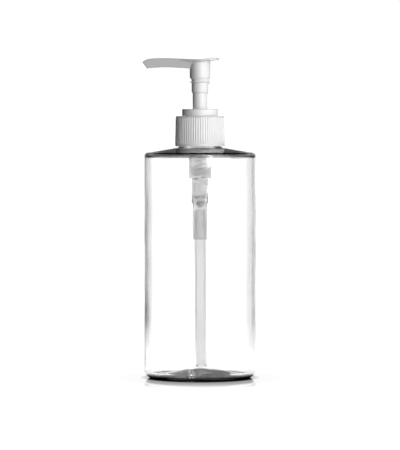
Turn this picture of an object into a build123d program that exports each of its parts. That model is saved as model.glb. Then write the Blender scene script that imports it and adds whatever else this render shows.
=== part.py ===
from build123d import *

import math
import os

# A clear PET bottle with a screw-on lotion pump, in millimetres. The origin is on the bottle's axis,
# in the plane that it stands on. +Z is up and the nozzle points along -X. Everything is shown with
# the closure screwed home and the pump's head up.

# ---------------------------------------------------------------- driving dimensions

# Bottle
body_r = 35.5
body_wall = 1.1
shoulder_z = 143.5  # where the wall's line meets the shoulder's
shoulder_slope = 0.16  # rise per millimetre towards the axis
shoulder_wall = 1.3  # at the corner
inner_slope = 0.115  # less steep, so that the shoulder thickens towards the neck
shoulder_corner = 2.0
inner_corner = 2.1
heel_r = 5.0
foot_inner_r = 27.0  # inside edge of the flat ring that it stands on
floor_thickness = 1.9
dome_rise = 3.9  # push-up under the base
dome_inner_rise = 5.7
dome_inner_r = 25.0

# Neck finish, 28 mm, six threads to the inch
neck_r = 12.55
neck_top_z = 163.4
neck_fillet = 2.3
mouth_r = 10.9
thread_pitch = 25.4 / 6
thread_depth = 1.15
neck_thread_turns = 1.25
cap_thread_turns = 1.0
neck_thread_top_z = 161.3

# Closure
cap_bottom_z = 147.6
cap_top_z = 166.8
cap_foot_r = 15.85
cap_head_r = 15.45
cap_bore_r = 14.2
cap_deck = 1.25
cap_hole_r = 9.45
cap_band = 1.8  # smooth band below the ribs
rib_count = 64
rib_depth = 0.32
rib_crest_width = 0.4
rib_root_width = 0.82  # where it leaves the wall
cap_thread_depth = 1.3

# Pump housing
flange_r = 13.3
flange_bottom_z = 164.3
flange_thickness = 1.2
cup_r = 9.1
cup_bore_r = 8.0
cup_top_z = 169.6
barrel_r = 7.15
barrel_bore_r = 5.95
barrel_bottom_z = 127.4
lower_barrel_r = 5.35
lower_bore_r = 3.95
lower_barrel_bottom_z = 111.4
spigot_bottom_z = 88.4
spigot_r = 4.5
spring_sleeve_r = 5.05
spring_sleeve_top_z = 134.6
cage_seat_z = 114.8
ball_chamber_r = 2.7
ball_seat_r = 1.4
ball_seat_z = 109.2
tube_stop_z = 107.0

# Dip tube
tube_r = 3.475
tube_bore_r = 2.5
tube_end_z = 6.7
tube_lean = 0.8  # how far its lower end stands towards +X
tube_cut_angle = 12

# Collar
collar_r = 11.475
collar_top_z = 171.3
collar_wall = 1.15
collar_deck = 1.3
collar_bore_r = 6.75
guide_bore_r = 4.78
guide_bottom_z = 157.7
guide_top_z = 162.9
well_r = 5.6  # room for the actuator's sleeve when the head is locked down
well_top_z = 165.4
lock_thread_pitch = 2.4
lock_thread_turns = 1.0
lock_thread_depth = 0.95

# Stem, plug, piston and spring
stem_r = 4.7
stem_bore_r = 3.0
stem_top_z = 192.4
rod_r = 2.6
plug_channel_r = 1.3
plug_flange_r = 3.7
spring_top_z = 150.9
plug_flange = 1.0
plug_slot = 1.2
piston_lip_clearance = 0.05
spring_mean_r = 3.3
spring_wire_r = 0.35
spring_coils = 9
cage_top_z = 124.6
ball_r = 2.0

# Actuator
sleeve_bottom_z = 181.4
sleeve_r = 5.4
boss_r = 6.6
boss_bottom_z = 191.4
lock_ridge_z = 187.7
lock_ridge_r = 6.4
plate_thickness = 1.3
plate_taper = 0.4  # it is this much thinner at the tail
nozzle_root_r = 7.35  # the nozzle's sides run from a circle of this radius round the stem
nozzle_tip_r = 4.3  # to one of this radius at the mouth
nozzle_draft = 18
nozzle_bore_r = 1.45
riser_r = 1.9
riser_top_z = 201.2

slip = 0.05  # play between pieces that are pushed together
play = 0.15  # play between pieces that turn on each other


# ---------------------------------------------------------------- helpers


def turned(*corners):
    """The face inside an outline of (radius, height) or (radius, height, rounding) corners."""
    with BuildSketch(Plane.XZ) as face:
        with BuildLine():
            points = [corner[:2] for corner in corners]
            rounding = [corner[2] if len(corner) > 2 else 0 for corner in corners]
            FilletPolyline(*points, radius=rounding, close=True)
        make_face()
    return face.sketch


def ridge(radius, pitch, turns, start_z, depth, root_width, crest_width):
    """A right-hand helical thread that stands out of a wall, or into its bore if depth is negative."""
    sunk = math.copysign(0.3, depth)
    with BuildPart() as thread:
        with BuildLine() as path:
            Helix(pitch, turns * pitch, radius, center=(0, 0, start_z))
        with BuildSketch(Plane.XZ):
            with BuildLine():
                Polyline(
                    (radius - sunk, start_z - root_width / 2),
                    (radius + depth, start_z - crest_width / 2),
                    (radius + depth, start_z + crest_width / 2),
                    (radius - sunk, start_z + root_width / 2),
                    close=True,
                )
            make_face()
        sweep(path=path.wire(), is_frenet=True)
    return thread.part


def save(part, name):
    """Label a finished piece and write its STEP file."""
    part.label = name
    export_step(part, f"parts/{name}.step")


os.makedirs("parts", exist_ok=True)

# ---------------------------------------------------------------- bottle

neck_foot_z = shoulder_z + shoulder_slope * (body_r - neck_r)
neck_thread_start_z = neck_thread_top_z - neck_thread_turns * thread_pitch
inner_r = body_r - body_wall
inner_shoulder_z = shoulder_z - shoulder_wall
inner_neck_z = inner_shoulder_z + inner_slope * (inner_r - mouth_r)
lip_rounding = 0.35

neck_thread = ridge(
    neck_r,
    thread_pitch,
    neck_thread_turns,
    neck_thread_start_z,
    thread_depth,
    root_width=2.1,
    crest_width=0.9,
)

with BuildPart() as bottle:
    with BuildSketch(Plane.XZ):
        with BuildLine():
            outline = FilletPolyline(
                (foot_inner_r, 0),
                (body_r, 0),
                (body_r, shoulder_z),
                (neck_r, neck_foot_z),
                (neck_r, neck_top_z),
                (mouth_r, neck_top_z),
                (mouth_r, inner_neck_z),
                (inner_r, inner_shoulder_z),
                (inner_r, floor_thickness),
                (dome_inner_r, floor_thickness),
                radius=[
                    heel_r,
                    shoulder_corner,
                    neck_fillet,
                    lip_rounding,
                    lip_rounding,
                    1.0,
                    inner_corner,
                    heel_r - body_wall,
                ],
            )
            dome_top = TangentArc((0, dome_inner_rise), outline @ 1, tangent=(1, 0))
            dome_under = TangentArc((0, dome_rise), outline @ 0, tangent=(1, 0))
            Line(dome_top @ 0, dome_under @ 0)
        make_face()
    revolve(axis=Axis.Z)
    add(neck_thread)
save(bottle.part, "bottle")

# ---------------------------------------------------------------- closure

cap_deck_z = cap_top_z - cap_deck
rib_bottom_z = cap_bottom_z + cap_band
rib_top_z = cap_top_z - 0.9
cap_lean = (cap_foot_r - cap_head_r) / (cap_top_z - rib_bottom_z)
rib_height = rib_top_z - rib_bottom_z
rib_root_r = cap_foot_r - rib_depth
rib_angle = math.degrees(math.atan(cap_lean))
rib_length = rib_height / math.cos(math.radians(rib_angle))
rib_sunk = 2 * rib_depth  # each rib reaches as far into the wall as it stands out
rib_sunk_width = 2 * rib_root_width - rib_crest_width

# the cap's thread runs half a pitch below the neck's
cap_thread = ridge(
    cap_bore_r,
    thread_pitch,
    cap_thread_turns,
    neck_thread_start_z - thread_pitch / 2,
    -cap_thread_depth,
    root_width=1.7,
    crest_width=0.8,
)

rib_plane = Plane((cap_foot_r, 0, rib_bottom_z), x_dir=(1, 0, 0)).rotated((0, -rib_angle, 0))
with BuildPart() as rib:
    with BuildSketch(rib_plane):
        with BuildLine():
            Polyline(
                (0, -rib_crest_width / 2),
                (0, rib_crest_width / 2),
                (-rib_sunk, rib_sunk_width / 2),
                (-rib_sunk, -rib_sunk_width / 2),
                close=True,
            )
        make_face()
    extrude(amount=rib_length)

cap_face = turned(
    (cap_bore_r, cap_bottom_z, 0.3),
    (cap_foot_r, cap_bottom_z, 0.5),
    (cap_foot_r, rib_bottom_z, 0.2),
    (rib_root_r, rib_bottom_z + 0.3),
    (rib_root_r - cap_lean * rib_height, rib_top_z),
    (cap_head_r, rib_top_z + 0.2),
    (cap_head_r, cap_top_z, 0.6),
    (cap_hole_r, cap_top_z, 0.2),
    (cap_hole_r, cap_deck_z),
    (cap_bore_r, cap_deck_z),
)

with BuildPart() as closure:
    revolve(cap_face, axis=Axis.Z)
    with PolarLocations(0, rib_count):
        add(rib.part)
    add(cap_thread)
save(closure.part, "closure")

# ---------------------------------------------------------------- pump housing

flange_top_z = flange_bottom_z + flange_thickness
floor_z = barrel_bottom_z + 1.8
ledge_z = flange_bottom_z + 0.15
socket_r = tube_r + 0.025
vent_z = 154.5
vent_r = 0.5
snap = 0.25
snap_z = 167.2
snap_slope = 0.4  # height of the snap's lead on either side
snap_groove = 0.6
snap_bead = 0.4

housing_face = turned(
    (socket_r, spigot_bottom_z),
    (spigot_r, spigot_bottom_z, 0.2),
    (spigot_r + 0.2, lower_barrel_bottom_z),
    (lower_barrel_r, lower_barrel_bottom_z, 0.3),
    (lower_barrel_r, barrel_bottom_z),
    (barrel_r, barrel_bottom_z, 0.4),
    (barrel_r, flange_bottom_z),
    (flange_r, flange_bottom_z),
    (flange_r, flange_top_z, 0.3),
    (cup_r, flange_top_z),
    (cup_r, cup_top_z, 0.2),
    (cup_bore_r, cup_top_z),
    (cup_bore_r, snap_z + snap_groove / 2 + snap_slope),
    (cup_bore_r + snap, snap_z + snap_groove / 2),
    (cup_bore_r + snap, snap_z - snap_groove / 2),
    (cup_bore_r, snap_z - snap_groove / 2 - snap_slope),
    (cup_bore_r, ledge_z),
    (barrel_bore_r, ledge_z),
    (barrel_bore_r, floor_z),
    (spring_sleeve_r, floor_z),
    (spring_sleeve_r, spring_sleeve_top_z, 0.3),
    (lower_bore_r, spring_sleeve_top_z, 0.3),
    (lower_bore_r, cage_seat_z),
    (ball_chamber_r, cage_seat_z),
    (ball_chamber_r, ball_seat_z + ball_chamber_r - ball_seat_r),
    (ball_seat_r, ball_seat_z),
    (ball_seat_r, tube_stop_z),
    (socket_r, tube_stop_z),
)

with BuildPart() as housing:
    revolve(housing_face, axis=Axis.Z)
    with BuildSketch(Plane.XZ):
        with Locations((0, vent_z)):
            Circle(vent_r)
    extrude(amount=barrel_r + 1, both=True, mode=Mode.SUBTRACT)
save(housing.part, "housing")

# ---------------------------------------------------------------- gasket

with BuildPart() as gasket:
    with BuildSketch(Plane.XY.offset(neck_top_z + slip)):
        Circle(flange_r - 0.1)
        Circle(barrel_r + 0.2, mode=Mode.SUBTRACT)
    extrude(amount=flange_bottom_z - neck_top_z - slip)
save(gasket.part, "gasket")

# ---------------------------------------------------------------- collar

plug_in_r = cup_bore_r - slip

# the actuator's ridge screws into this thread to lock the head down
lock_thread = ridge(
    collar_bore_r,
    lock_thread_pitch,
    lock_thread_turns,
    collar_top_z - lock_thread_pitch - 1.2,
    -lock_thread_depth,
    root_width=1.2,
    crest_width=0.5,
)

collar_face = turned(
    (collar_r, cap_top_z + play),
    (collar_r, collar_top_z, 0.6),
    (collar_bore_r, collar_top_z, 0.3),
    (collar_bore_r, well_top_z + (collar_bore_r - well_r)),
    (well_r, well_top_z),
    (well_r, guide_top_z + (well_r - guide_bore_r)),
    (guide_bore_r, guide_top_z, 0.2),
    (guide_bore_r, guide_bottom_z),
    (barrel_bore_r - slip, guide_bottom_z),
    (barrel_bore_r - slip, ledge_z + slip),
    (plug_in_r, ledge_z + slip),
    (plug_in_r, snap_z - snap_bead / 2 - snap_slope),
    (plug_in_r + snap, snap_z - snap_bead / 2),
    (plug_in_r + snap, snap_z + snap_bead / 2),
    (plug_in_r, snap_z + snap_bead / 2 + snap_slope),
    (plug_in_r, collar_top_z - collar_deck),
    (collar_r - collar_wall, collar_top_z - collar_deck),
    (collar_r - collar_wall, cap_top_z + play),
)

with BuildPart() as collar:
    revolve(collar_face, axis=Axis.Z)
    add(lock_thread)
save(collar.part, "collar")

# ---------------------------------------------------------------- dip tube

with BuildPart() as dip_tube:
    with BuildLine() as tube_path:
        straight = Line((0, 0, tube_stop_z - slip), (0, 0, spigot_bottom_z))
        TangentArc(straight @ 1, (tube_lean, 0, tube_end_z - 2), tangent=(0, 0, -1))
    with BuildSketch(Plane((0, 0, tube_stop_z - slip), z_dir=(0, 0, -1))):
        Circle(tube_r)
        Circle(tube_bore_r, mode=Mode.SUBTRACT)
    sweep(path=tube_path.wire())
    # the lower end is cut at a slant, so that it can't seal against the base
    cut_z = tube_end_z + tube_r * math.tan(math.radians(tube_cut_angle))
    split(bisect_by=Plane((tube_lean, 0, cut_z)).rotated((tube_cut_angle, 0, 0)), keep=Keep.TOP)
save(dip_tube.part, "dip_tube")

# ---------------------------------------------------------------- inlet valve

funnel_r = 2.8
channel_r = 1.35
funnel_bottom_z = 119.4
cage_r = lower_bore_r - slip
cage_slot = 1.1

cage_face = turned(
    (channel_r, cage_seat_z + slip),
    (cage_r, cage_seat_z + slip),
    (cage_r, cage_top_z, 0.2),
    (funnel_r, cage_top_z),
    (channel_r, funnel_bottom_z),
)

with BuildPart() as ball_cage:
    revolve(cage_face, axis=Axis.Z)
    # crossed slots, so that the raised ball can't close the channel
    with BuildSketch(Plane.XY.offset(cage_seat_z + slip)):
        with PolarLocations(0, 2, angular_range=180):
            Rectangle(2 * ball_chamber_r, cage_slot)
    extrude(amount=cage_slot, mode=Mode.SUBTRACT)
save(ball_cage.part, "ball_cage")

ball_z = ball_seat_z - ball_seat_r + ball_r * math.sqrt(2) + 0.03

with BuildPart() as valve_ball:
    with BuildSketch(Plane.XZ):
        with BuildLine():
            CenterArc((0, ball_z), ball_r, -90, 180)
            Line((0, ball_z + ball_r), (0, ball_z - ball_r))
        make_face()
    revolve(axis=Axis.Z)
save(valve_ball.part, "valve_ball")

# ---------------------------------------------------------------- stem and its plug

stem_bottom_z = guide_bottom_z
plug_top_z = stem_bottom_z + 5.5
rod_bottom_z = spring_top_z + plug_flange
nose_r = 2.4
nose_bottom_z = spring_top_z - 2.6

stem_face = turned(
    (stem_bore_r, stem_bottom_z),
    (stem_r, stem_bottom_z, 0.3),
    (stem_r, stem_top_z, 0.4),
    (stem_bore_r, stem_top_z),
)

with BuildPart() as stem:
    revolve(stem_face, axis=Axis.Z)
save(stem.part, "stem")

plug_face = turned(
    (0, nose_bottom_z),
    (nose_r, nose_bottom_z, 0.5),
    (nose_r, spring_top_z),
    (plug_flange_r, spring_top_z),
    (plug_flange_r, rod_bottom_z, 0.2),
    (rod_r, rod_bottom_z),
    (rod_r, stem_bottom_z),
    (stem_bore_r - slip, stem_bottom_z),
    (stem_bore_r - slip, plug_top_z, 0.3),
    (plug_channel_r, plug_top_z),
    (plug_channel_r, rod_bottom_z + plug_slot),
    (0, rod_bottom_z + plug_slot),
)

with BuildPart() as stem_plug:
    revolve(plug_face, axis=Axis.Z)
    # the slot that the piston covers, and uncovers when the stem is pushed
    with BuildSketch(Plane.XY.offset(rod_bottom_z)):
        Rectangle(2 * rod_r + 1, 2 * plug_channel_r)
    extrude(amount=plug_slot + 0.1, mode=Mode.SUBTRACT)
save(stem_plug.part, "stem_plug")

# ---------------------------------------------------------------- piston

piston_r = barrel_bore_r - piston_lip_clearance
piston_bore_r = rod_r + slip
piston_bottom_z = rod_bottom_z + slip
piston_top_z = guide_bottom_z - 0.3
hub_r = 3.6
skirt_r = 5.1
waist_r = 5.6
web_z = (piston_bottom_z + piston_top_z) / 2
web = 1.0

piston_face = turned(
    (piston_bore_r, piston_bottom_z),
    (hub_r, piston_bottom_z, 0.2),
    (hub_r, web_z - web / 2),
    (skirt_r, web_z - web / 2),
    (skirt_r + 0.3, piston_bottom_z),
    (piston_r, piston_bottom_z),
    (piston_r, piston_bottom_z + 0.7),
    (waist_r, piston_bottom_z + 1.6),
    (waist_r, piston_top_z - 1.6),
    (piston_r, piston_top_z - 0.7),
    (piston_r, piston_top_z),
    (skirt_r + 0.3, piston_top_z),
    (skirt_r, web_z + web / 2),
    (hub_r, web_z + web / 2),
    (hub_r, piston_top_z, 0.2),
    (piston_bore_r, piston_top_z),
)

with BuildPart() as piston:
    revolve(piston_face, axis=Axis.Z)
save(piston.part, "piston")

# ---------------------------------------------------------------- spring

spring_bottom_z = cage_top_z + slip
coil_height = spring_top_z - slip - spring_bottom_z - 2 * spring_wire_r

with BuildPart() as spring:
    with BuildLine() as coil:
        Helix(
            coil_height / spring_coils,
            coil_height,
            spring_mean_r,
            center=(0, 0, spring_bottom_z + spring_wire_r),
        )
    with BuildSketch(Plane.XZ):
        with Locations((spring_mean_r, spring_bottom_z + spring_wire_r)):
            Circle(spring_wire_r)
    sweep(path=coil.wire(), is_frenet=True)
save(spring.part, "spring")

# ---------------------------------------------------------------- actuator

plate_underside = 201.8
mouth_upper = (-38.1, 201.4)
mouth_lower = (-35.3, 197.3)
tail_tip = (12.8, 202.9)
head_top_z = 204.4  # above every point of the head
head_depth = head_top_z - boss_bottom_z
head_width = 4 * boss_r  # more than it is across
head_side = Plane.XZ.offset(-head_width / 2)

# the head's upper line, from the mouth to the tail, and the finger plate's underside
head_upper = [
    mouth_upper,
    (-34.8, 203.05),
    (-30.3, 203.7),
    (-15.0, 203.58),
    (-6.4, 203.15),
    (0.5, 202.93),
    (6.4, 203.25),
    (10.8, 203.85),
    tail_tip,
]
plate_under = [
    *[(x, z - plate_thickness) for x, z in head_upper[3:-1]],
    (tail_tip[0] - 0.3, tail_tip[1] - plate_thickness + plate_taper),
]
nozzle_under = [mouth_lower, (-26.5, 198.0), (-15.0, 197.65), (0.0, 196.9)]
# one side of the finger plate, seen from above; it grows out of the nozzle's side
plate_side = [
    (-15.0, 5.5),
    (-8.0, 7.3),
    (0.0, 8.6),
    (6.8, 8.0),
    (11.2, 5.2),
    (tail_tip[0], 0.0),
]
# the bore's path from the riser to the mouth: (x, z, downward pitch in degrees)
bore_stations = [
    (0.0, 199.95, -3),
    (-15.0, 200.42, -3),
    (-26.5, 200.75, 0),
    (-32.5, 200.3, 12),
    (-40.5, 197.75, 20),
]


def bore_plane(x, z, pitch):
    """A plane across the nozzle's bore, with its normal along the flow."""
    turn = math.radians(pitch)
    return Plane((x, 0, z), x_dir=(0, -1, 0), z_dir=(-math.cos(turn), 0, -math.sin(turn)))


with BuildPart() as plate:
    with BuildSketch(Plane.XY.offset(head_top_z)):
        with BuildLine():
            side = Spline(*plate_side, tangents=[(1, 0.25), (0, -1)])
            other_side = mirror(side, about=Plane.XZ)
            Line(side @ 0, other_side @ 0)
        make_face()
    extrude(amount=-head_depth, taper=nozzle_draft)
    with BuildSketch(head_side):
        with BuildLine():
            under = Spline(*plate_under)
            Polyline(
                under @ 1,
                (under @ 1) + (5, 0),
                (tail_tip[0] + 5, boss_bottom_z - 1),
                ((under @ 0).X - 5, boss_bottom_z - 1),
                (under @ 0) - (5, 0),
                under @ 0,
            )
        make_face()
    extrude(amount=head_width, mode=Mode.SUBTRACT)

with BuildPart() as nozzle:
    with BuildSketch(Plane.XY.offset(head_top_z)):
        Circle(nozzle_root_r)
        with Locations((mouth_upper[0], 0)):
            Circle(nozzle_tip_r)
        make_hull()
    extrude(amount=-head_depth, taper=nozzle_draft)
    with BuildSketch(head_side):
        with BuildLine():
            under = Spline(*nozzle_under)
            Polyline(
                under @ 0,
                mouth_upper,
                (mouth_upper[0], head_top_z + 1),
                (nozzle_root_r / 2, head_top_z + 1),
                (nozzle_root_r / 2, nozzle_under[-1][1]),
                under @ 1,
            )
        make_face()
    extrude(amount=head_width, mode=Mode.INTERSECT)

with BuildPart() as head:
    add(plate.part)
    add(nozzle.part)
    with BuildSketch(head_side):
        with BuildLine():
            upper = Spline(*head_upper)
            Polyline(
                upper @ 1,
                (tail_tip[0] + 1, boss_bottom_z),
                (mouth_upper[0] - 1, boss_bottom_z),
                upper @ 0,
            )
        make_face()
    extrude(amount=head_width, mode=Mode.INTERSECT)

boss_face = turned(
    (0, boss_bottom_z - 1.5),
    (sleeve_r, boss_bottom_z - 1.5),
    (boss_r, boss_bottom_z),
    (boss_r, plate_underside + 0.4),
    (0, plate_underside + 0.4),
)
sleeve_face = turned(
    (stem_r + 0.25, sleeve_bottom_z),
    (sleeve_r, sleeve_bottom_z + 1.0),
    (sleeve_r, boss_bottom_z - 1.0),
    (0, boss_bottom_z - 1.0),
    (0, sleeve_bottom_z),
)
socket_face = turned(
    (0, sleeve_bottom_z - 1),
    (stem_r + 0.03, sleeve_bottom_z - 1),
    (stem_r + 0.03, stem_top_z + 0.1),
    (riser_r, stem_top_z + 0.1),
    (riser_r, riser_top_z - 1.2),
    (0, riser_top_z),
)
lock_ridge = ridge(
    sleeve_r,
    1.2,
    1.1,
    lock_ridge_z,
    lock_ridge_r - sleeve_r,
    root_width=1.1,
    crest_width=0.5,
)

with BuildPart() as actuator:
    add(head.part)
    revolve(boss_face, axis=Axis.Z)
    revolve(sleeve_face, axis=Axis.Z)
    add(lock_ridge)
    revolve(socket_face, axis=Axis.Z, mode=Mode.SUBTRACT)
    for station in bore_stations:
        with BuildSketch(bore_plane(*station)):
            Circle(nozzle_bore_r)
    loft(mode=Mode.SUBTRACT)
save(actuator.part, "actuator")
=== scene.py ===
import math

import bpy
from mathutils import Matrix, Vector, noise


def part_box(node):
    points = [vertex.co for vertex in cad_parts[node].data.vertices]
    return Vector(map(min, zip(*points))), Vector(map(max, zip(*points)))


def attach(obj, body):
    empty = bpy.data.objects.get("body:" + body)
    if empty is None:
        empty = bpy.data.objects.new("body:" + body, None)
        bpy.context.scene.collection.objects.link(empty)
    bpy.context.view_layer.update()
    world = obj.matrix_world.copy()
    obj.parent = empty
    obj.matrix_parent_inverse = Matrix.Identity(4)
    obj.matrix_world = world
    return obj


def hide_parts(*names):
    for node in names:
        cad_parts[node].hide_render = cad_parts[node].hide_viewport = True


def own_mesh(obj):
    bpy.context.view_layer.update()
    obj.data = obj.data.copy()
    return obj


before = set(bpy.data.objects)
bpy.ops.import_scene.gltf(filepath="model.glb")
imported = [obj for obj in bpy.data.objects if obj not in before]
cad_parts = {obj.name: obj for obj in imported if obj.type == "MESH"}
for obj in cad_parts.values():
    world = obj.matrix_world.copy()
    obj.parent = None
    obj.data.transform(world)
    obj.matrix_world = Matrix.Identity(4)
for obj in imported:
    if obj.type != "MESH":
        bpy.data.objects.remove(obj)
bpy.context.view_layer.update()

# The clear bottle is a fine lathed mesh, so that it refracts cleanly, and the spring is a helix that
# shortens with the stroke. The other pieces keep their CAD meshes and get procedural materials.
# Lengths are in metres, and the nozzle points along -X.

mm = 0.001

bottle_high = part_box("bottle")[1]
body_r = bottle_high.x


# ---------------------------------------------------------------- node helpers


def math_node(tree, operation, *values, clamp=False):
    """A Math node whose inputs are numbers or sockets. Returns its output."""
    node = tree.nodes.new("ShaderNodeMath")
    node.operation = operation
    node.use_clamp = clamp
    for socket, value in zip(node.inputs, values):
        if isinstance(value, bpy.types.NodeSocket):
            tree.links.new(value, socket)
        else:
            socket.default_value = value
    return node.outputs[0]


def smooth_range(tree, value, from_min, from_max, to_min=0.0, to_max=1.0):
    """A value mapped smoothly from one range to another."""
    node = tree.nodes.new("ShaderNodeMapRange")
    node.interpolation_type = "SMOOTHSTEP"
    tree.links.new(value, node.inputs["Value"])
    node.inputs["From Min"].default_value = from_min
    node.inputs["From Max"].default_value = from_max
    node.inputs["To Min"].default_value = to_min
    node.inputs["To Max"].default_value = to_max
    return node.outputs["Result"]


def dot(tree, vector, direction):
    """The dot product of a vector socket and a fixed direction."""
    node = tree.nodes.new("ShaderNodeVectorMath")
    node.operation = "DOT_PRODUCT"
    tree.links.new(vector, node.inputs[0])
    node.inputs[1].default_value = direction
    return node.outputs["Value"]


def unit(tree, vector, flatten=False):
    """A vector socket scaled to length 1, laid flat first if asked."""
    if flatten:
        flat = tree.nodes.new("ShaderNodeVectorMath")
        flat.operation = "MULTIPLY"
        tree.links.new(vector, flat.inputs[0])
        flat.inputs[1].default_value = (1, 1, 0)
        vector = flat.outputs[0]
    node = tree.nodes.new("ShaderNodeVectorMath")
    node.operation = "NORMALIZE"
    tree.links.new(vector, node.inputs[0])
    return node.outputs[0]


def noise_texture(tree, vector, scale, detail=2.0):
    """The value of a noise texture over a vector socket."""
    node = tree.nodes.new("ShaderNodeTexNoise")
    node.inputs["Scale"].default_value = scale
    node.inputs["Detail"].default_value = detail
    tree.links.new(vector, node.inputs["Vector"])
    return node.outputs["Fac"]


def uneven(tree, vector, scale, least, most):
    """A value that wanders between two limits over a vector socket."""
    return smooth_range(tree, noise_texture(tree, vector, scale), 0.2, 0.8, least, most)


def object_position(tree):
    """The place on the object that is shaded, in its own frame."""
    return tree.nodes.new("ShaderNodeTexCoord").outputs["Object"]


# ---------------------------------------------------------------- studio

# The camera stands a little to the right of the head's side, so that the nozzle points left and away.
view_azimuth = 20
# white panels round the object, each with its azimuth from +Y towards +X, its half width, its half
# width with the soft edge, and its level
panels = [
    (-view_azimuth, 8, 19, 1.35),
    (-view_azimuth, 26, 42, 0.5),
]
# panels in other directions, which only rays through clear plastic see
side_panels = [
    (-90, 8, 15, 1.2),
    (0, 5, 10, 1.0),
    (135, 9, 17, 0.9),
]
backdrop_level = 1.1
room_level = 0.04
under_level = 0.07
key_level = 2.8
key_azimuth = 144 - view_azimuth
key_width = 28
key_soft_edge = 8
key_height = 0.62  # how far up and down it reaches, as a sine
key_soft_end = 0.2
strip_azimuth = 159 - view_azimuth
strip_width = 5
strip_soft_edge = 2
strip_end = (0.45, 0.6)
strip_level = 6.0
# the panels fade twice with height, which is also a sine, and stop at the floor line
panel_fade = (0.06, 0.17)
ceiling_fade = (0.55, 0.85)
faded_share = 0.12
floor_line = (-0.10, -0.06)
back_azimuth = 20 - view_azimuth
back_size = 0.9
back_watts = 22.0
back_distance = 1.4
back_rise = 0.45
back_aim_z = 0.15


def compass(azimuth):
    """The level direction at an azimuth from +Y towards +X."""
    turn = math.radians(azimuth)
    return math.sin(turn), math.cos(turn), 0


def panel_light(tree, flat, azimuth, full, gone, brightness):
    """How bright an upright panel is in a level direction."""
    along = dot(tree, flat, compass(azimuth))
    edges = math.cos(math.radians(gone)), math.cos(math.radians(full))
    return smooth_range(tree, along, *edges, 0, brightness)


def light_path(tree, output):
    """What kind of ray is being shaded."""
    return tree.nodes.new("ShaderNodeLightPath").outputs[output]


def walls_brightness(tree, direction):
    """How bright the room is at eye level in a direction."""
    flat = unit(tree, direction, flatten=True)
    level = room_level
    for panel in panels:
        level = math_node(tree, "MAXIMUM", panel_light(tree, flat, *panel), level)
    seen_through = light_path(tree, "Is Transmission Ray")
    for panel in side_panels:
        light = math_node(tree, "MULTIPLY", panel_light(tree, flat, *panel), seen_through)
        level = math_node(tree, "MAXIMUM", light, level)
    return level


def make_world():
    """A dark room with a white panel behind the object, and a softbox with a strip at the front right."""
    world = bpy.data.worlds.new("studio")
    world.use_nodes = True
    tree = world.node_tree
    direction = tree.nodes.new("ShaderNodeTexCoord").outputs["Generated"]
    height = dot(tree, direction, (0, 0, 1))
    low = smooth_range(tree, height, *panel_fade, 1.0, faded_share)
    high = smooth_range(tree, height, *ceiling_fade, 1.0, faded_share)
    lit = math_node(tree, "MULTIPLY", low, high)
    walls = math_node(tree, "MULTIPLY", walls_brightness(tree, direction), lit)
    above = smooth_range(tree, height, *floor_line)
    rise = math_node(tree, "SUBTRACT", walls, under_level)
    level = math_node(tree, "MULTIPLY_ADD", above, rise, under_level)

    flat = unit(tree, direction, flatten=True)
    size = math_node(tree, "ABSOLUTE", height)
    key_end = key_height - key_soft_end, key_height + key_soft_end
    key_ends = smooth_range(tree, size, *key_end, 1.0, 0.0)
    key_edge = key_width - key_soft_edge, key_width + key_soft_edge
    key = panel_light(tree, flat, key_azimuth, *key_edge, key_level)
    level = math_node(tree, "MULTIPLY_ADD", key, key_ends, level)
    strip_ends = smooth_range(tree, size, *strip_end, 1.0, 0.0)
    strip_edge = strip_width - strip_soft_edge, strip_width + strip_soft_edge
    strip = panel_light(tree, flat, strip_azimuth, *strip_edge, strip_level)
    level = math_node(tree, "MULTIPLY_ADD", strip, strip_ends, level)

    seen = light_path(tree, "Is Camera Ray")
    rise = math_node(tree, "SUBTRACT", backdrop_level, level)
    level = math_node(tree, "MULTIPLY_ADD", seen, rise, level)
    tree.links.new(level, tree.nodes["Background"].inputs["Color"])
    return world


bpy.context.scene.world = make_world()
bpy.context.scene.view_settings.view_transform = "Standard"
bpy.context.scene.view_settings.look = "None"

floor_size = 14.0
painted_pool_level = 1.15  # a painted pool of light: how bright the table glows near the object, seen in reflections and through plastic
painted_pool_to = 0.16
painted_pool_gone_from = 0.55
table_roughness = 0.03
table_ior = 1.5
polished_to = 42 * mm
matt_from = 85 * mm
most_polish = 1.1
# a painted contact shadow on the table: its glow is black under the bottle out to the first radius and
# full again from the second
painted_shadow_to = body_r - 2 * mm
painted_shadow_gone_from = body_r + 4 * mm
table_gap = 0.02 * mm


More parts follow.
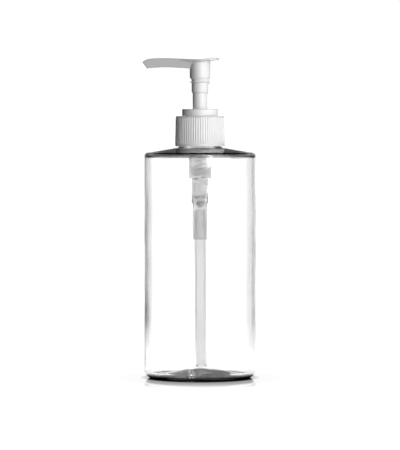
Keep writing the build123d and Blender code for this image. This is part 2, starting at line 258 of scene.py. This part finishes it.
def floor_material():
    """A white table that glows, with a painted pool of light near the object, a painted contact shadow
    under the bottle, and gloss only close to it.
    """
    material = bpy.data.materials.new("table")
    material.use_nodes = True
    tree = material.node_tree
    tree.nodes.clear()
    position = object_position(tree)
    distance = tree.nodes.new("ShaderNodeVectorMath")
    distance.operation = "LENGTH"
    tree.links.new(position, distance.inputs[0])
    distance = distance.outputs["Value"]

    # painted pool of light: the table glows brightest near the object and fades to the room's level
    # further out
    painted_pool = smooth_range(tree, distance, painted_pool_to, painted_pool_gone_from, 1.0, 0.0)
    far_level = walls_brightness(tree, position)
    rise = math_node(tree, "SUBTRACT", painted_pool_level, far_level)
    level = math_node(tree, "MULTIPLY_ADD", painted_pool, rise, far_level)
    seen = light_path(tree, "Is Camera Ray")
    rise = math_node(tree, "SUBTRACT", backdrop_level, level)
    level = math_node(tree, "MULTIPLY_ADD", seen, rise, level)
    # painted contact shadow: the table's glow fades to black under the bottle's foot
    outside_painted_shadow = smooth_range(tree, distance, painted_shadow_to, painted_shadow_gone_from)
    level = math_node(tree, "MULTIPLY", level, outside_painted_shadow)

    glow = tree.nodes.new("ShaderNodeEmission")
    glow.inputs["Color"].default_value = (1, 1, 1, 1)
    tree.links.new(level, glow.inputs["Strength"])
    gloss = tree.nodes.new("ShaderNodeBsdfGlossy")
    gloss.inputs["Roughness"].default_value = table_roughness
    fresnel = tree.nodes.new("ShaderNodeFresnel")
    fresnel.inputs["IOR"].default_value = table_ior
    polished = smooth_range(tree, distance, polished_to, matt_from, most_polish, 0.0)
    polish = math_node(tree, "MULTIPLY", polished, seen)
    share = math_node(tree, "MULTIPLY", fresnel.outputs[0], polish, clamp=True)
    mix = tree.nodes.new("ShaderNodeMixShader")
    tree.links.new(share, mix.inputs["Fac"])
    tree.links.new(glow.outputs[0], mix.inputs[1])
    tree.links.new(gloss.outputs[0], mix.inputs[2])
    output = tree.nodes.new("ShaderNodeOutputMaterial")
    tree.links.new(mix.outputs[0], output.inputs["Surface"])
    return material


def make_floor():
    """The table, just under the foot ring."""
    half = floor_size / 2
    mesh = bpy.data.meshes.new("table")
    corners = [(-half, -half, 0), (half, -half, 0), (half, half, 0), (-half, half, 0)]
    mesh.from_pydata(corners, [], [(0, 1, 2, 3)])
    mesh.materials.append(floor_material())
    table = bpy.data.objects.new("table", mesh)
    bpy.context.scene.collection.objects.link(table)
    table.location.z = -table_gap
    table.visible_diffuse = False


make_floor()


def make_back_light():
    """A softbox behind and above the object, which lights the backs of the white pieces."""
    data = bpy.data.lights.new("back_softbox", "AREA")
    data.shape = "DISK"
    data.size = back_size
    data.energy = back_watts
    softbox = bpy.data.objects.new("back_softbox", data)
    toward = Vector(compass(back_azimuth)) + Vector((0, 0, back_rise))
    softbox.location = toward * back_distance + Vector((0, 0, back_aim_z))
    softbox.rotation_euler = toward.to_track_quat("Z", "Y").to_euler()
    softbox.visible_camera = False
    softbox.visible_glossy = False
    softbox.visible_transmission = False
    bpy.context.scene.collection.objects.link(softbox)


make_back_light()


# ---------------------------------------------------------------- camera

eye_height = 0.161
camera_distance = 1.785
look_down = math.radians(2.04)
lens = 224
sensor_width = 36
far_clip = 50


def make_camera():
    """The camera, which faces the middle of the white panel."""
    data = bpy.data.cameras.new("camera")
    data.lens = lens
    data.sensor_width = sensor_width
    data.clip_end = far_clip
    camera = bpy.data.objects.new("camera", data)
    turn = math.radians(view_azimuth)
    camera.location = (camera_distance * math.sin(turn), -camera_distance * math.cos(turn), eye_height)
    camera.rotation_euler = (math.pi / 2 - look_down, 0, turn)
    bpy.context.scene.collection.objects.link(camera)
    bpy.context.scene.camera = camera


make_camera()


# ---------------------------------------------------------------- materials


def new_material(name):
    """A material and its Principled shader."""
    material = bpy.data.materials.new(name)
    material.use_nodes = True
    return material, material.node_tree, material.node_tree.nodes["Principled BSDF"]


def soften(tree, shader, height=None, strength=0.1, distance=0.05 * mm, edge=0.25 * mm):
    """Rounded edges for a shader's normal, with a bump on them if there is a height."""
    bevel = tree.nodes.new("ShaderNodeBevel")
    bevel.samples = 6
    bevel.inputs["Radius"].default_value = edge
    normal = bevel.outputs["Normal"]
    if height is not None:
        bump = tree.nodes.new("ShaderNodeBump")
        bump.inputs["Strength"].default_value = strength
        bump.inputs["Distance"].default_value = distance
        tree.links.new(height, bump.inputs["Height"])
        tree.links.new(normal, bump.inputs["Normal"])
        normal = bump.outputs["Normal"]
    tree.links.new(normal, shader.inputs["Normal"])


def clear_pet():
    """Clear polished PET, with a faint unevenness in its tint."""
    material, tree, shader = new_material("clear_pet")
    tint = tree.nodes.new("ShaderNodeMix")
    tint.data_type = "RGBA"
    tint.inputs["A"].default_value = (0.981, 0.986, 0.986, 1)
    tint.inputs["B"].default_value = (0.989, 0.993, 0.993, 1)
    tree.links.new(noise_texture(tree, object_position(tree), scale=60.0), tint.inputs["Factor"])
    tree.links.new(tint.outputs["Result"], shader.inputs["Base Color"])
    shader.inputs["Roughness"].default_value = 0.0
    shader.inputs["IOR"].default_value = 1.575
    shader.inputs["Transmission Weight"].default_value = 1.0
    return material


def white_plastic(name, roughness, mottle, edge=0.25 * mm):
    """Moulded white polypropylene: a satin gloss with a faint orange peel and uneven sheen."""
    material, tree, shader = new_material(name)
    position = object_position(tree)
    shade = noise_texture(tree, position, scale=90.0)
    tint = tree.nodes.new("ShaderNodeMix")
    tint.data_type = "RGBA"
    tint.inputs["A"].default_value = (0.83, 0.83, 0.83, 1)
    tint.inputs["B"].default_value = (0.87, 0.87, 0.868, 1)
    tree.links.new(shade, tint.inputs["Factor"])
    tree.links.new(tint.outputs["Result"], shader.inputs["Base Color"])
    rough = uneven(tree, position, 400.0, roughness - mottle, roughness + mottle)
    tree.links.new(rough, shader.inputs["Roughness"])
    shader.inputs["IOR"].default_value = 1.49
    shader.inputs["Specular IOR Level"].default_value = 0.3
    grain = noise_texture(tree, position, scale=1400.0, detail=1.0)
    soften(tree, shader, grain, strength=0.12, distance=0.03 * mm, edge=edge)
    return material


thick_edge = 1.0 * mm


def milky_plastic(name, colour, clearness, roughness, bending, thick=None):
    """Unpigmented polyolefin, which lets some light through and scatters it, less where it is thick.

    thick is the lowest and highest z of its thick part, and how much clearness it loses there.
    """
    material, tree, shader = new_material(name)
    position = object_position(tree)
    tint = tree.nodes.new("ShaderNodeMix")
    tint.data_type = "RGBA"
    tint.inputs["A"].default_value = (*[c * 0.985 for c in colour], 1)
    tint.inputs["B"].default_value = (*colour, 1)
    tree.links.new(noise_texture(tree, position, scale=160.0), tint.inputs["Factor"])
    tree.links.new(tint.outputs["Result"], shader.inputs["Base Color"])
    shader.inputs["Roughness"].default_value = roughness
    shader.inputs["IOR"].default_value = bending
    shader.inputs["Transmission Weight"].default_value = clearness
    if thick is not None:
        low, high, loss = thick
        height = dot(tree, position, (0, 0, 1))
        over = smooth_range(tree, height, low - thick_edge, low + thick_edge)
        under = smooth_range(tree, height, high - thick_edge, high + thick_edge, 1.0, 0.0)
        part = math_node(tree, "MULTIPLY", over, under)
        clear = math_node(tree, "MULTIPLY_ADD", part, -loss, clearness)
        tree.links.new(clear, shader.inputs["Transmission Weight"])
    grain = noise_texture(tree, position, scale=900.0, detail=1.0)
    soften(tree, shader, grain, strength=0.1, distance=0.03 * mm)
    return material


def foam():
    """Closed-cell foam."""
    material, tree, shader = new_material("foam")
    position = object_position(tree)
    cells = tree.nodes.new("ShaderNodeTexVoronoi")
    cells.inputs["Scale"].default_value = 2500.0
    tree.links.new(position, cells.inputs["Vector"])
    shader.inputs["Base Color"].default_value = (0.86, 0.86, 0.85, 1)
    shader.inputs["Roughness"].default_value = 0.8
    soften(tree, shader, cells.outputs["Distance"], strength=0.4, distance=0.1 * mm)
    return material


def steel(name, colour, roughness, grain):
    """Stainless steel, with a polish that is a little uneven."""
    material, tree, shader = new_material(name)
    position = object_position(tree)
    shader.inputs["Base Color"].default_value = (*colour, 1)
    shader.inputs["Metallic"].default_value = 1.0
    rough = uneven(tree, position, grain, roughness * 0.7, roughness * 1.3)
    tree.links.new(rough, shader.inputs["Roughness"])
    return material


moulded_white = white_plastic("white_pp", 0.22, 0.04)
natural_pp = milky_plastic("natural_pp", (0.995, 0.995, 0.99), 0.975, 0.6, 1.12)
valve_seat = (108.5 * mm, 115.5 * mm, 0.2)
materials = {
    "closure": moulded_white,
    "collar": moulded_white,
    "actuator": white_plastic("head_pp", 0.22, 0.04, edge=0.9 * mm),
    "stem": moulded_white,
    "housing": milky_plastic("housing_pp", (1.0, 1.0, 0.996), 0.998, 0.72, 1.15, thick=valve_seat),
    "ball_cage": natural_pp,
    "stem_plug": natural_pp,
    "dip_tube": milky_plastic("natural_pe", (0.995, 0.995, 0.99), 0.87, 0.2, 1.08),
    "piston": milky_plastic("piston_pe", (0.94, 0.94, 0.93), 0.6, 0.4, 1.2),
    "gasket": foam(),
    "valve_ball": steel("ball_steel", (0.92, 0.92, 0.92), 0.45, 1200.0),
}
for name, material in materials.items():
    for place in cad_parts[name].material_slots:
        place.material = material


# ---------------------------------------------------------------- bottle

wall = 1.1 * mm
shoulder_z = 143.5 * mm
shoulder_slope = 0.16
shoulder_wall = 1.3 * mm
inner_slope = 0.115
heel_r = 5.0 * mm
inner_heel_r = 2.5 * mm
foot_inner_r = 27.0 * mm
floor_wall = 1.9 * mm
dome_rise = 3.9 * mm
dome_inner_rise = 5.7 * mm
dome_inner_r = 25.0 * mm
neck_r = 12.55 * mm
mouth_r = 10.9 * mm
neck_top = bottle_high.z
thread_pitch = 25.4 * mm / 6
thread_top_z = 161.3 * mm
thread_turns = 1.25
thread_depth = 1.15 * mm
thread_root = 1.05 * mm  # half its width at the wall
thread_crest = 0.45 * mm  # half its width at the top
around = 256
step = 1.4 * mm
neck_step = 0.25 * mm
thread_lead = 0.04  # of a turn, over which the thread rises from the neck at each end
shoulder_corner = 2.0 * mm
neck_foot_fillet = 2.3 * mm
rim_round = 0.35 * mm
inner_neck_corner = 1.0 * mm
inner_corner = 2.1 * mm
dome_steps = 24
closeness = 0.01 * mm
base_top_z = 12 * mm
base_ripple = (7 * mm, 0.35 * mm)  # its size and its height
wall_ripple = (18 * mm, 0.1 * mm)
neck_from_z = shoulder_z + 2 * mm


def rounded(corners, arc_steps=14):
    """An outline through (radius, height, rounding) corners, with each corner's arc drawn out."""
    points = []
    for i, (r, z, rounding) in enumerate(corners):
        here = Vector((r, z))
        if rounding == 0 or i in (0, len(corners) - 1):
            points.append(here)
            continue
        back = (Vector(corners[i - 1][:2]) - here).normalized()
        on = (Vector(corners[i + 1][:2]) - here).normalized()
        half = back.angle(on) / 2
        centre = here + (back + on).normalized() * rounding / math.sin(half)
        first = here + back * rounding / math.tan(half) - centre
        last = here + on * rounding / math.tan(half) - centre
        sweep = first.angle_signed(last)
        for k in range(arc_steps + 1):
            turn = -sweep * k / arc_steps
            points.append(
                centre
                + Vector(
                    (
                        first.x * math.cos(turn) - first.y * math.sin(turn),
                        first.x * math.sin(turn) + first.y * math.cos(turn),
                    )
                )
            )
    return points


def dome(centre_z, rim_r, rim_z):
    """The points of a shallow dome from its centre on the axis out to its rim."""
    rise = centre_z - rim_z
    radius = (rim_r**2 + rise**2) / (2 * rise)
    reach = math.asin(rim_r / radius)
    return [
        Vector((radius * math.sin(a), centre_z - radius + radius * math.cos(a)))
        for a in (reach * k / dome_steps for k in range(dome_steps + 1))
    ]


def divided(points):
    """The same outline in short runs, shortest on the neck for its thread."""
    fine = [points[0]]
    for a, b in zip(points, points[1:]):
        longest = neck_step if a.y > neck_from_z else step
        count = max(1, math.ceil((b - a).length / longest))
        fine.extend(a.lerp(b, k / count) for k in range(1, count + 1))
    return fine


def thread_height(z, angle):
    """How far the neck's thread stands out at a height and an angle."""
    tallest = 0.0
    for turn in range(math.ceil(thread_turns) + 1):
        along = angle / (2 * math.pi) + turn
        if along > thread_turns:
            break
        away = abs(z - (thread_top_z - (thread_turns - along) * thread_pitch))
        flank = (thread_root - away) / (thread_root - thread_crest)
        lead = min(along, thread_turns - along) / thread_lead
        tallest = max(tallest, thread_depth * min(flank, lead, 1.0))
    return tallest


def ripple(r, z, angle, size, height):
    """A small smooth unevenness of a moulded face."""
    place = Vector((r * math.cos(angle), r * math.sin(angle), z)) / size
    return height * noise.noise(place)


def bottle_outline():
    """The outside from its centre underneath up to the mouth, and the inside back down to the axis."""
    neck_foot_z = shoulder_z + shoulder_slope * (body_r - neck_r)
    inner_r = body_r - wall
    inner_shoulder_z = shoulder_z - shoulder_wall
    inner_neck_z = inner_shoulder_z + inner_slope * (inner_r - mouth_r)
    outside = rounded(
        [
            (foot_inner_r, 0, 0),
            (body_r, 0, heel_r),
            (body_r, shoulder_z, shoulder_corner),
            (neck_r, neck_foot_z, neck_foot_fillet),
            (neck_r, neck_top, rim_round),
            (mouth_r, neck_top, 0),
        ]
    )
    inside = rounded(
        [
            (mouth_r, neck_top, 0),
            (mouth_r, inner_neck_z, inner_neck_corner),
            (inner_r, inner_shoulder_z, inner_corner),
            (inner_r, floor_wall, inner_heel_r),
            (dome_inner_r, floor_wall, 0),
        ]
    )
    under = dome(dome_rise, foot_inner_r, 0)
    over = dome(dome_inner_rise, dome_inner_r, floor_wall)
    over.reverse()
    outer = divided(under + outside[1:])
    inner = divided(inside + over[1:])[1:]
    return outer, inner


def lathe(name, outline, radius_at):
    """A closed smooth mesh from an outline that starts and ends on the axis."""
    vertices = [(0, 0, outline[0].y)]
    for i, point in enumerate(outline[1:-1], start=1):
        for k in range(around):
            angle = 2 * math.pi * k / around
            r, z = radius_at(i, point, angle)
            vertices.append((r * math.cos(angle), r * math.sin(angle), z))
    vertices.append((0, 0, outline[-1].y))
    rows = len(outline) - 2
    faces = []
    for k in range(around):
        following = (k + 1) % around
        faces.append((0, 1 + following, 1 + k))
        for row in range(rows - 1):
            a = 1 + row * around
            faces.append((a + k, a + following, a + around + following, a + around + k))
        last = 1 + (rows - 1) * around
        faces.append((last + k, last + following, len(vertices) - 1))
    mesh = bpy.data.meshes.new(name)
    mesh.from_pydata(vertices, [], faces)
    mesh.shade_smooth()
    piece = bpy.data.objects.new(name, mesh)
    bpy.context.scene.collection.objects.link(piece)
    return piece


outer, inner = bottle_outline()
outline = outer + inner
inner_start = len(outer)


def bottle_surface(i, point, angle):
    """Where an outline point lies at an angle: threaded on the neck, and slightly uneven inside."""
    r, z = point.x, point.y
    if i < inner_start:
        if r < neck_r + closeness and z > neck_from_z:
            r += thread_height(z, angle)
        return r, z
    if z < base_top_z and r < dome_inner_r:
        return r, z + ripple(r, z, angle, *base_ripple)
    return r + ripple(r, z, angle, *wall_ripple), z


bottle = lathe("clear_bottle", outline, bottle_surface)
bottle.data.materials.append(clear_pet())
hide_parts("bottle")
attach(bottle, "bottle")


# ---------------------------------------------------------------- spring

coil_turns = 9
turn_steps = 36
wire_r = 0.35 * mm
wire_sides = 12


def coil_spring():
    """The pump's spring as one helix of wire, in the box of its CAD node."""
    low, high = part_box("spring")
    mean_r = high.y - wire_r
    rise = high.z - low.z - 2 * wire_r
    count = coil_turns * turn_steps
    vertices = []
    for k in range(count + 1):
        turn = 2 * math.pi * k / turn_steps
        outward = Vector((math.cos(turn), math.sin(turn), 0))
        centre = outward * mean_r + Vector((0, 0, low.z + wire_r + rise * k / count))
        along = Vector((-outward.y, outward.x, rise / (2 * math.pi * coil_turns * mean_r))).normalized()
        up = outward.cross(along)
        for side in range(wire_sides):
            angle = 2 * math.pi * side / wire_sides
            vertices.append(centre + wire_r * (outward * math.cos(angle) + up * math.sin(angle)))
    faces = [tuple(reversed(range(wire_sides)))]
    for k in range(count):
        here = k * wire_sides
        beyond = here + wire_sides
        for side in range(wire_sides):
            following = (side + 1) % wire_sides
            faces.append((here + side, here + following, beyond + following, beyond + side))
    faces.append(tuple(range(count * wire_sides, (count + 1) * wire_sides)))
    mesh = bpy.data.meshes.new("coil_spring")
    mesh.from_pydata(vertices, [], faces)
    mesh.shade_smooth()
    mesh.materials.append(steel("spring_steel", (0.9, 0.9, 0.9), 0.45, 600.0))
    coil = bpy.data.objects.new("coil_spring", mesh)
    bpy.context.scene.collection.objects.link(coil)
    return coil


coil = coil_spring()
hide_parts("spring")
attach(coil, "pump")
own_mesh(coil)
